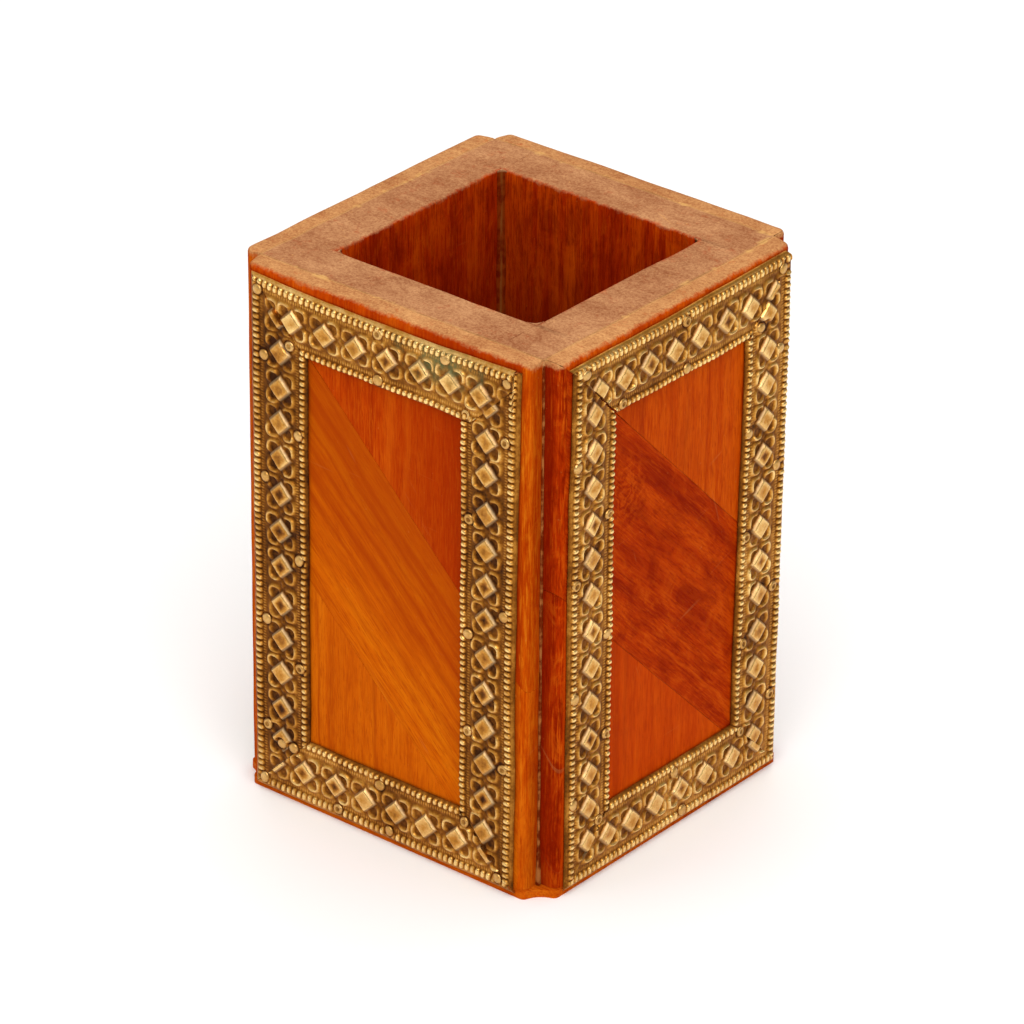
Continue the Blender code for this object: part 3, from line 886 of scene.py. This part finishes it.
def makeNotchBead():
    # uneven, and thick at its foot with dust
    corner = (coreHalf + boardBack) / 2
    length = rim - boardFoot - glue["beadStop"]
    bpy.ops.mesh.primitive_cylinder_add(vertices=12, radius=glue["beadRadius"], depth=length,
                                        location=(corner, -corner, boardFoot + length / 2))
    bead = bpy.context.object
    applyPlace(bead)
    sliceBlock(bead, glue["beadPitch"], axes=(2,))
    girth = {}
    for z in sorted({round(vertex.co.z, 6) for vertex in bead.data.vertices}):
        dust = max(0, glue["dustGirth"] - (z - boardFoot) / glue["dustHeight"])
        girth[z] = beadDraws.uniform(*glue["beadGirth"]) + dust
    for vertex in bead.data.vertices:
        size = girth[round(vertex.co.z, 6)]
        vertex.co.x = corner + (vertex.co.x - corner) * size
        vertex.co.y = -corner + (vertex.co.y + corner) * size
    return bead


def makeFillet(turn, radius):
    # a block with a round trough cut down it
    low = (wellHalf - radius, -wellHalf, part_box("floor_board")[1].z)
    fillet = addBlock("fillet", low, (wellHalf, -wellHalf + radius, rim - glue["filletTop"]))
    bpy.ops.mesh.primitive_cylinder_add(vertices=32, radius=radius, depth=2 * rim,
                                        location=(wellHalf - radius, -wellHalf + radius, rim))
    trough = bpy.context.object
    cut = fillet.modifiers.new("trough", "BOOLEAN")
    cut.operation, cut.object = "DIFFERENCE", trough
    activate(fillet)
    bpy.ops.object.modifier_apply(modifier=cut.name)
    bpy.data.objects.remove(trough)
    applyPlace(fillet, Matrix.Rotation(math.radians(turn), 4, "Z"))
    return fillet


glueLines = aroundBox(makeGlueLine, "glue_lines")
wearPiece(glueLines)
finishPiece(glueLines, glueMaterial("lineGlue", *glue["line"]), "board_wood")

beadDraws = np.random.default_rng(glue["seed"])
notchBeads = aroundBox(makeNotchBead, "notch_glue_beads")
shadeSmooth(notchBeads, 60)
finishPiece(notchBeads, glueMaterial("notchGlue", *glue["bead"]), "board_wood")

wellFillets = joinPieces([makeFillet(*each) for each in glue["fillets"].items()], "well_glue_fillets")
shadeSmooth(wellFillets, 40)
finishPiece(wellFillets, glueMaterial("filletGlue", *glue["fillet"]), "core_wood")
print("glue laid")


# Embossed strips. Sizes in millimetres, along the strip and across from its outer edge.

emboss = {
    "seed": 100,
    "step": 0.14,
    "sheet": 0.5,
    "mitreGap": 0.05,
    "beadPitch": 1.19, "beadLength": 0.50, "beadHeight": 0.52, "beadSlant": 0.08,
    "outerBeads": (1.33, 0.74), "innerBeads": (11.5, 0.62),     # line and half width
    "millPitch": 0.52, "millWidth": 0.34, "millHeight": 0.13, "millLines": (2.45, 10.3),
    "studReach": 2.62, "studTop": 1.98, "studHeight": 0.78,
    "studCorner": 1.05,       # 1 is a sharp square set cornerwise, 2 is round
    "studPitch": 6.8,
    "petalAlong": 1.78, "petalAcross": 1.74, "petalRadii": (1.18, 1.14), "petalShape": 2.5,
    "petalRib": 0.40, "petalHeight": 0.60, "petalDip": 0.24,
    "nailReach": 1.5, "nailPress": 0.85,      # how far round a nail the sheet is pressed, and how flat
    "blur": 0.9,
}
stripShine = {
    # how bright the plain sheet is, and what each form adds to it or takes away. The bead crowns' share is a
    # painted highlight, and the nails' share a painted shade round each head.
    "plain": 0.30, "raised": 0.5, "beaded": 0.5, "beadCrownHighlight": 0.9, "lined": 2.2, "nailRingShade": 0.22,
    "flange": 0.1,
}
studs = {
    # how far across each strip its row of studs lies, and the places of the studs along it
    "front": {
        "top": (6.25, (1.1, 7.8, 14.5, 21.1, 28.2, 35.1, 42, 49.2, 55.5)),
        "foot": (6.1, (-2, 4.7, 11.5, 18.6, 25.4, 32.3, 39, 46, 52.8)),
        "left": (6.6, (-0.8, 6.1, 12.9, 19.7, 26.2, 33, 39.9, 47, 53.8, 61.2, 68.2, 74.9, 81.8, 88.2, 94.8)),
        "right": (6.4, (3.2, 9.9, 16.4, 23.4, 30.2, 36.9, 43.8, 51, 57.5, 64.2, 71, 78.3, 84.6, 91.2, 98))},
    "right": {
        "top": (6.32, (3.9, 10.8, 17.4, 24.6, 31.3, 38.1, 44.8, 51.4, 57.9)),
        "foot": (6.48, (4.3, 11.4, 17.6, 24.4, 31.4, 38.3, 46, 53)),
        "left": (6.02, (3.7, 10.2, 17, 23.8, 30.6, 37.1, 43.9, 50.8, 57.7, 64.6, 71.5, 78.4, 84.9, 91.7,
                        98.5)),
        "right": (6.78, (1.4, 8.1, 14.8, 21.8, 29, 36.2, 42.7, 49.3, 56.3, 63.2, 70, 76.8, 83.5, 90.2, 97))},
    # on the other two sides the studs are evenly spaced from the first place
    "back": {"top": (6.4, 5.2), "foot": (6.6, 1.2), "left": (6.3, 0.1), "right": (6.7, 3.6)},
    "left": {"top": (6.5, 0.2), "foot": (6.3, 4.1), "left": (6.6, 2.8), "right": (6.2, 5.4)},
    # those pressed in hard at the top, by their places or their numbers along an even row
    "pressed": {
        ("front", "top"): (21.1, 28.2), ("front", "foot"): (11.5, 18.6),
        ("front", "left"): (6.1, 39.9, 47, 53.8, 61.2, 81.8), ("front", "right"): (16.4, 36.9, 51, 57.5),
        ("right", "top"): (17.4, 38.1), ("right", "foot"): (31.4,),
        ("right", "left"): (30.6, 50.8, 71.5), ("right", "right"): (42.7, 63.2),
        ("back", "top"): (1, 5), ("back", "left"): (3, 4, 9), ("back", "right"): (2, 7),
        ("left", "top"): (3,), ("left", "foot"): (6,),
        ("left", "left"): (2, 7, 8), ("left", "right"): (5, 10)},
}
studDraws = {
    # how single studs and flowers differ: each value is drawn between two
    "shift": (-0.12, 0.12), "spread": (0.94, 1.05), "wave": (0, 6), "petals": (0.8, 1.1),
    "tilt": (-0.05, 0.05), "pressed": (0.13, 0.20), "dent": (0.02, 0.07), "height": (0.9, 1.06),
    "knot": (0.2, 1),        # of the small bump between two flowers
}
stripQuirks = {
    "reach": 11.0,      # how far along a strip the quirk of an end is felt
    # insets of an end from the strip's corner: lists of (across, inset), in place of a plain mitre.
    # The far upper corner of the right side is rounded off.
    "startInsets": {("front", "top"): ((0, 3.2, 12.4), (0.95, 0.95, 10.15)),
                    ("right", "top"): ((0, 0.7, 1.6, 12.4), (0.5, -0.3, -0.4, 11.5))},
    "endInsets": {("front", "right"): ((0, 1.05, 1.2, 10.15, 12.4), (0.1, 0.1, 3.3, 12.5, 12.5)),
                  ("right", "foot"): ((0, 12.4), (-0.25, 12.4)),
                  ("right", "right"): ((0, 0.7, 1.6, 12.4), (1.3, 1.0, 1.65, 12.45))},
    "openMitres": {("right", "top", "end"): 0.05, ("right", "left", "start"): 0.05,
                   ("front", "right", "start"): 0.1, ("front", "foot", "end"): 0.08,
                   ("right", "left", "end"): 0.1},
    "lifts": {("front", "top"): 0.3},      # how high the start of a strip stands over its neighbour
    "bows": {("front", "top"): 0.7, ("right", "top"): 0.3, ("back", "top"): 0.4, ("left", "foot"): 0.3},
    "rubbed": {("front", "top"): 0.08, ("front", "foot"): 0.06, ("front", "left"): -0.07,
               ("front", "right"): -0.04, ("right", "foot"): 0.12, ("right", "left"): 0.05,
               ("right", "top"): 0.06, ("right", "right"): 0.06},
    # how bright the plain margin outside the beads is
    "flanges": {("front", "top"): 0.30, ("right", "top"): 0.20, ("right", "left"): -0.02},
    # how far a strip's outer and inner edges stand in from straight lines: places along it, outer, inner
    "leans": {("right", "top"): ((0, 20, 58), (-0.65, -0.5, 0), (-0.3, -0.1, 0)),
              ("front", "right"): ((0, 20, 35, 50, 65, 80, 99), (0.65, 0.45, 0.6, 0.5, 0.3, 0.1, -0.3),
                                   (0,) * 7),
              ("right", "right"): ((0, 20, 50, 80, 99), (-0.2, -0.3, -0.6, -1.05, -1.1),
                                   (-0.1, 0, -0.6, -1.2, -1.2)),
              ("right", "left"): ((0, 16, 26, 99), (1.0, 0.9, 0.35, 0.35), (-0.5,) * 4)},
}


# Nails. Heights on the upright strips and offsets from the middle on the level ones, in millimetres.

nails = {
    "seed": 500,
    "radius": 1.0, "height": 0.62, "seat": 0.40,
    "sides": 20,
    "flat": 0.3,              # share of a head's height that its upright edge takes
    # steps in and up from the edge of a head to its middle, as shares of its radius and height
    "rings": ((0.08, 0.28), (0.18, 0.20), (0.28, 0.12), (0.28, 0.04)),
    "pittedRings": ((0.08, 0.28), (0.18, 0.20), (0.20, 0.06), (0.14, -0.22), (0.18, -0.12)),
    "pitted": 0.3,            # their share
    "pitReach": 0.4,          # of the radius
    "lean": 0.12,             # most that a head leans, in radians
    "stretch": ((0.92, 1.08), (0.9, 1.1), (0.92, 1.06)),
    # the edge is near black: a painted shade at the foot of each head, with patina in the crevice
    "shine": {"edge": 0.05, "pit": 0.35, "dome": 0.62},
    # how far the outer and inner nails of each strip stand in from its two edges
    "insets": {"front": {"left": (3.0, 1.85), "right": (2.7, 2.0), "top": (2.6, 1.3), "foot": (1.8, 2.3)},
               "right": {"left": (2.0, 2.0), "right": (2.05, 2.25), "top": (2.2, 1.3), "foot": (1.8, 2.05)}},
    "front": {"leftOuter": (85.7, 62.5, 34.8, 13.9), "leftInner": (72.7, 48.7, 27.5),
              "rightOuter": (86.5, 53.9, 24.5), "rightInner": (69.8, 48.0, 29.3),
              "topOuter": (-27.6, -1.0, 13.6, 26.9), "topInner": (-20.5, -1.0, 18.2),
              "footOuter": (-27.2, -10.2, 1.4, 25.6), "footInner": (-23.0, -20.4, -0.7, 18.3)},
    "right": {"leftOuter": (81.6, 59.5, 37.8, 17.3), "leftInner": (69.8, 47.0, 27.7),
              "rightOuter": (83.2, 60.7, 37.0, 15.5), "rightInner": (69.8, 49.8, 28.9),
              "topOuter": (-25.3, 1.1, 27.6), "topInner": (-15.7, 1.4, 21.7),
              "footOuter": (2.9,), "footInner": (-20.4, 0.4, 19.1)},
}
for side, like in (("back", "right"), ("left", "front")):
    nails[side] = nails[like]
    nails["insets"][side] = nails["insets"][like]


def nailPlaces(side):
    half, foot, top, width = (size / mm for size in (frameHalf, frameFoot, frameTop, stripWidth))
    for row in ("Outer", "Inner"):
        inset = {part: outer if row == "Outer" else width - inner
                 for part, (outer, inner) in nails["insets"][side].items()}
        for z in nails[side]["left" + row]:
            yield -half + inset["left"], z
        for z in nails[side]["right" + row]:
            yield half - inset["right"], z
        for x in nails[side]["top" + row]:
            yield x, top - inset["top"]
        for x in nails[side]["foot" + row]:
            yield x, foot + inset["foot"]


def nailsOnStrip(side, part):
    # places along and across a strip of the nails that pin it
    half, foot, top, width = (size / mm for size in (frameHalf, frameFoot, frameTop, stripWidth))
    for x, z in nailPlaces(side):
        along, across = {"left": (top - z, x + half), "right": (z - foot, half - x),
                         "top": (half - x, top - z), "foot": (x + half, z - foot)}[part]
        if across < width:
            yield along, across


def ridge(distance, width):
    return np.exp(-(distance / width) ** 2)


def smoothStep(value):
    value = np.clip(value, 0, 1)
    return value * value * (3 - 2 * value)


def wander(along, rng, size, period):
    # a slow uneven line made of three waves
    total = np.zeros_like(along)
    for share in (1.0, 0.53, 0.31):
        total += share * np.sin(along * 2 * math.pi / (period * share) + rng.uniform(0, 2 * math.pi))
    return total * size / 1.84


def beadRow(along, across, row, rng):
    line, halfWidth = row
    shifted = along - emboss["beadSlant"] * (across - line)
    number = np.floor(shifted / emboss["beadPitch"]).astype(int)
    inside = (shifted / emboss["beadPitch"] - number - 0.5) * emboss["beadPitch"]
    sizes = rng.uniform(0.78, 1.08, 200)[number % 200]
    reach = np.abs(inside / emboss["beadLength"]) ** 2.3 + np.abs((across - line) / halfWidth) ** 3
    return emboss["beadHeight"] * sizes * np.sqrt(np.clip(1 - reach, 0, 1))


def millRow(along, across, line, rng):
    teeth = 0.5 + 0.5 * np.cos(2 * math.pi * along / emboss["millPitch"])
    strength = 0.75 + 0.25 * wander(along, rng, 1, 23)
    return emboss["millHeight"] * strength * teeth * ridge(across - line, emboss["millWidth"])


def studRow(side, part, rng):
    # line across the strip, places along it, and which are pressed in
    line, places = studs[side][part]
    pressed = studs["pressed"].get((side, part), ())
    if isinstance(places, tuple):
        return line, np.array(places), np.isin(places, pressed)
    places = np.arange(places, stripLayout[part][2] / mm + 2, emboss["studPitch"])
    return line, places + rng.uniform(-0.25, 0.25, len(places)), np.isin(range(len(places)), pressed)


def motifRelief(along, across, side, part, rng):
    # flat-topped studs set cornerwise, each on four petals
    line, places, pressed = studRow(side, part, rng)
    number = np.searchsorted((places[1:] + places[:-1]) / 2, along)

    def perStud(kind):
        return rng.uniform(*studDraws[kind], len(places))[number]

    dx = along - places[number]
    dy = across - line - perStud("shift")
    radiusAlong, radiusAcross = emboss["petalRadii"]
    power = emboss["petalShape"]
    spread = perStud("spread")
    outward = np.abs((np.abs(dx) - emboss["petalAlong"] * spread) / radiusAlong) ** power
    outward += np.abs((np.abs(dy) - emboss["petalAcross"] * spread) / radiusAcross) ** power
    away = (outward ** (1 / power) - 1) * radiusAlong
    uneven = 0.82 + 0.18 * np.sin(3 * np.arctan2(dy, dx) + perStud("wave"))
    # the rims stand highest at the flower's outer corners
    uneven = uneven * (0.35 + 0.65 * smoothStep((np.abs(dx) + np.abs(dy) - 2.7) / 1.7))
    petals = emboss["petalHeight"] * uneven * perStud("petals") * ridge(away, emboss["petalRib"])
    hollow = emboss["petalDip"] * smoothStep(-(away + 0.15) / 0.5)
    corner = emboss["studCorner"]
    reach = (np.abs(dx) ** corner + np.abs(dy) ** corner) ** (1 / corner)
    climb = (emboss["studReach"] - reach) / (emboss["studReach"] - emboss["studTop"])
    rise = np.clip(climb - np.logaddexp(0, 5 * (climb - 1)) / 5, 0, 1)
    tilt = perStud("tilt") * dx + perStud("tilt") * dy
    depth = np.where(pressed[number], perStud("pressed"), perStud("dent"))
    dent = depth * smoothStep((emboss["studTop"] - 0.25 - reach) / 1.7)
    stud = rise * (emboss["studHeight"] * perStud("height") + tilt) - dent
    knot = 0.3 * ridge(np.abs(dx) - emboss["studPitch"] / 2, 0.35) * ridge(dy, 0.4) * perStud("knot")
    flank = smoothStep((climb - 0.1) / 0.6) * smoothStep((0.98 - climb) / 0.15)
    height = np.maximum(np.maximum(petals - hollow, stud), knot)
    # what is rubbed: the petals' rims and the tops of the studs
    rub = np.where(climb > 0, 0.27 * smoothStep((climb - 0.75) / 0.4), 0.5 * petals - 0.15 * hollow)
    rub = rub - 2.4 * dent + 0.12 * ridge(climb - 1.12, 0.2)
    return height, rub - 0.05 * ridge(reach - emboss["studReach"] - 0.25, 0.4), flank


def boxBlur(field, cells):
    # mean over a square window, edges repeated
    for axis in (0, 1):
        padded = np.concatenate([np.repeat(np.take(field, [0], axis), cells, axis), field,
                                 np.repeat(np.take(field, [-1], axis), cells + 1, axis)], axis)
        total = np.cumsum(padded, axis)
        count = field.shape[axis]
        window = 2 * cells + 1
        high = np.take(total, range(window - 1, window - 1 + count), axis)
        low = np.take(total, range(0, count), axis) - np.take(padded, range(0, count), axis)
        field = (high - low) / window
    return field


def reliefOf(along, across, side, part, rng):
    # height of the sheet, how much it is rubbed bright with some painted highlight and shade, and where the
    # sides of the studs are
    sway = wander(along, rng, 0.1, 41)
    level = across - sway
    height, rub, flank = motifRelief(along, level, side, part, rng)
    beads = np.zeros_like(height)
    for row in (emboss["outerBeads"], emboss["innerBeads"]):
        beads = np.maximum(beads, beadRow(along, level, row, rng))
    milled = sum(millRow(along, level, line, rng) for line in emboss["millLines"])
    height = np.maximum(height, beads) + milled
    # pressed flat under the nails, where the sheet also gets a painted shade round each head
    nailed = np.zeros_like(height)
    for nailAlong, nailAcross in nailsOnStrip(side, part):
        away = np.hypot(along - nailAlong, across - nailAcross)
        nailed = np.maximum(nailed, smoothStep((emboss["nailReach"] - away) / 0.5))
    height *= 1 - emboss["nailPress"] * nailed
    height += wander(along, rng, 0.05, 17) + wander(along + across * 3, rng, 0.03, 5)
    # both edges turn down to the board
    width = stripWidth / mm
    height -= 0.3 * smoothStep(1 - across / 0.4) + 0.25 * smoothStep(1 - (width - across) / 0.3)
    plain, raised, beaded, beadCrownHighlight, lined, nailRingShade, flange = stripShine.values()
    shine = plain + raised * (height - boxBlur(height, int(emboss["blur"] / emboss["step"])))
    # painted light on the sheet: a highlight on the bead crowns and a shade round each nail
    shine += rub + beaded * beads + beadCrownHighlight * np.maximum(beads - 0.3, 0) + lined * milled - nailRingShade * nailed
    shine += stripQuirks["flanges"].get((side, part), flange) * smoothStep((0.9 - across) / 0.3)
    return height, shine, flank * (1 - nailed)


stripLayout = {
    # start corner on the front, turn about the way it faces, length
    "foot": ((-frameHalf, -stripBack, frameFoot), 0, frameHalf * 2),
    "right": ((frameHalf, -stripBack, frameFoot), 90, frameTop - frameFoot),
    "top": ((frameHalf, -stripBack, frameTop), 180, frameHalf * 2),
    "left": ((-frameHalf, -stripBack, frameTop), 270, frameTop - frameFoot),
}


def stripMatrix(side, part):
    corner, turn, _ = stripLayout[part]
    lay = Matrix.Rotation(math.radians(-turn), 4, "Y") @ Matrix.Rotation(math.radians(90), 4, "X")
    return Matrix.Rotation(math.radians(sideTurns[side]), 4, "Z") @ Matrix.Translation(corner) @ lay


def endInset(across, side, part, end):
    # how far the strip's end stands back from its corner at each place across it, and what a quirk adds
    plain = across + emboss["mitreGap"] + stripQuirks["openMitres"].get((side, part, end), 0)
    quirk = stripQuirks[end + "Insets"].get((side, part))
    return plain, np.interp(across, *quirk) - plain if quirk else 0


def layGrid(shareAlong, across, side, part):
    # places along the strip, from the mitre at its start to that at its end
    length = stripLayout[part][2] / mm
    start, startMore = endInset(across, side, part, "start")
    end, endMore = endInset(across, side, part, "end")
    along = start + shareAlong * (length - start - end)
    nearStart = np.clip(1 - (along - start) / stripQuirks["reach"], 0, 1) ** 2
    nearEnd = np.clip(1 - (length - end - along) / stripQuirks["reach"], 0, 1) ** 2
    return along + startMore * nearStart - endMore * nearEnd, start


def bendSheet(along, across, start, height, side, part, rng):
    # the sheet's final places: lifted, bowed and leaning where the real one is
    length, width = stripLayout[part][2] / mm, stripWidth / mm
    lift = stripQuirks["lifts"].get((side, part), 0) * smoothStep(1 - (along - start) / 9)
    inner = across / width
    bow = stripQuirks["bows"].get((side, part), 0) * np.sin(math.pi * along / length) * (1 - inner)
    edge = wander(along, rng, 0.09, 29) * (0.5 - inner) * 2
    if (side, part) in stripQuirks["leans"]:
        places, outerLean, innerLean = stripQuirks["leans"][(side, part)]
        edge += np.interp(along, places, outerLean) * (1 - inner) ** 1.5
        edge += np.interp(along, places, innerLean) * inner
    final = across + edge + bow
    # it follows the rounded ends of the boards
    sideways = frameHalf / mm - (along if part in ("top", "foot") else final)
    radius = board["edgeRadius"] / mm
    beyond = np.clip(np.abs(sideways) - coreHalf / mm + radius, 0, 1.3)
    drop = radius - np.sqrt(radius ** 2 - beyond ** 2)
    return np.stack([along, final, np.maximum(height + emboss["sheet"] + lift - drop, 0.08)], -1) * mm


def makeStrip(side, part, seed):
    width = stripWidth / mm
    countAlong = int(stripLayout[part][2] / mm / emboss["step"])
    countAcross = int(width / emboss["step"])
    bpy.ops.mesh.primitive_grid_add(x_subdivisions=countAlong, y_subdivisions=countAcross, size=1)
    strip = bpy.context.object
    strip.name = f"{side}_{part}_strip_embossed"
    mesh = strip.data
    flat = np.empty(len(mesh.vertices) * 3, np.float32)
    mesh.vertices.foreach_get("co", flat)
    points = flat.reshape(-1, 3).astype(float)
    order = np.lexsort((np.round(points[:, 0], 6), np.round(points[:, 1], 6)))
    shareAlong, shareAcross = (points[order, :2] + 0.5).T.reshape(2, countAcross + 1, countAlong + 1)
    rng = np.random.default_rng(seed)
    across = shareAcross * width
    along, start = layGrid(shareAlong, across, side, part)
    height, shine, flank = reliefOf(along, across, side, part, rng)
    shine += stripQuirks["rubbed"].get((side, part), 0) + wander(along, rng, 0.05, 33)
    points[order] = bendSheet(along, across, start, height, side, part, rng).reshape(-1, 3)
    mesh.vertices.foreach_set("co", points.astype(np.float32).ravel())
    for name, field in (("shine", shine), ("flank", flank)):
        values = np.empty(len(order), np.float32)
        values[order] = np.clip(field, 0, 1).ravel()
        mesh.attributes.new(name, "FLOAT", "POINT").data.foreach_set("value", values)
    # a skirt down to the board and a flat back close the sheet
    startEdit(strip, "EDGE", "DESELECT")
    bpy.ops.mesh.select_non_manifold()
    bpy.ops.mesh.extrude_edges_move(TRANSFORM_OT_translate={"value": (0, 0, -emboss["sheet"] * mm)})
    bpy.ops.transform.resize(value=(1, 1, 0), center_override=(0, 0, 0))
    bpy.ops.mesh.edge_face_add()
    bpy.ops.mesh.select_all(action="SELECT")
    bpy.ops.mesh.normals_make_consistent(inside=False)
    endEdit()
    applyPlace(strip, stripMatrix(side, part))
    shadeSmooth(strip, 70)
    brass = spottedBrass if (side, part) == ("front", "top") else stripBrass
    finishPiece(strip, brass, "strip_brass", f"{side}_{part}_strip")


seed = emboss["seed"]
for side in sideTurns:
    for part in stripLayout:
        seed += 1
        makeStrip(side, part, seed)
    print("strips embossed:", side)


def modelNail(name, pitted):
    # a low round head facing +Z, domed or with a small pit
    radius, height = nails["radius"] * mm, nails["height"] * mm
    flatEdge = height * nails["flat"]
    bpy.ops.mesh.primitive_cylinder_add(vertices=nails["sides"], radius=radius, depth=flatEdge,
                                        location=(0, 0, flatEdge / 2))
    head = bpy.context.object
    head.name = name
    applyPlace(head)
    editChosen(head, "FACE", lambda face: face.normal.z > 0.9)
    for inward, upward in nails["pittedRings"] if pitted else nails["rings"]:
        bpy.ops.mesh.inset(thickness=radius * inward)
        bpy.ops.transform.translate(value=(0, 0, height * upward))
    endEdit()
    shine = head.data.attributes.new("shine", "FLOAT", "POINT")
    for vertex, value in zip(head.data.vertices, shine.data):
        inPit = pitted and vertex.co.xy.length < radius * nails["pitReach"]
        # the foot of each head takes the painted shade of the edge
        value.value = nails["shine"]["edge" if vertex.co.z < flatEdge / 2 else "pit" if inPit else "dome"]
    return head


def makeNails():
    models = (modelNail("plainNail", False), modelNail("pittedNail", True))
    facing = Matrix.Rotation(math.radians(90), 4, "X")
    for number, side in enumerate(sideTurns):
        rng = np.random.default_rng(nails["seed"] + number)
        heads = []
        for x, z in nailPlaces(side):
            head = duplicate(models[rng.uniform() < nails["pitted"]], "head")
            tip, turn = (rng.uniform(-nails["lean"], nails["lean"]) for _ in range(2))
            lean = Matrix.Rotation(tip, 4, "X") @ Matrix.Rotation(turn, 4, "Z")
            size = Matrix.Diagonal([rng.uniform(*ends) for ends in nails["stretch"]] + [1])
            place = Matrix.Translation((x * mm, -stripBack - nails["seat"] * mm, z * mm))
            applyPlace(head, place @ lean @ size @ facing)
            heads.append(head)
        joined = joinPieces(heads, f"{side}_nail_heads")
        turnToSide(joined, side)
        shadeSmooth(joined, 60)
        replaced = [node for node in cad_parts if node.startswith(f"{side}_nail_")]
        finishPiece(joined, nailBrass, "nail_brass", *replaced)
    for model in models:
        bpy.data.objects.remove(model)


makeNails()
print("nails set")


# Floor board and base keep their solids and take a wood finish

foot = {
    "wood": {"tones": ((150, 44, 2), (192, 80, 6), (212, 118, 20)), "mottle": 0.3},
    "inset": 0.05 * mm,
}


def makeFootFiller():
    # glue and dust that closes the thin gap between the base and the boards
    half, face = coreHalf - foot["inset"], boardFace - foot["inset"]
    filler = addBlock("filler", (-half, -face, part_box("base_plate")[1].z), (half, face, boardFoot))
    bevelEdges(filler, lambda a, b: abs(a.z - b.z) > touch, board["edgeRadius"], 5)
    return filler


def dressNode(node, material):
    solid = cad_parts[node]
    solid.data.materials.clear()
    solid.data.materials.append(material)


floorLook = {"tones": core["wood"]["tones"], "mottle": 0.3}
dressNode("floor_board", woodMaterial("floorWood", floorLook, core["rimTones"], "front", 90, (0.1, 0.2, 0.3)))
baseWood = woodMaterial("baseWood", foot["wood"], core["rimTones"], "front", 90, (0.3, 0.2, 0.1))
dressNode("base_plate", baseWood)
footFiller = aroundBox(makeFootFiller, "foot_filler", ("front", "right"))
shadeSmooth(footFiller)
finishPiece(footFiller, baseWood, "base_wood")
print("base finished")

bpy.context.scene.view_settings.view_transform = "Standard"
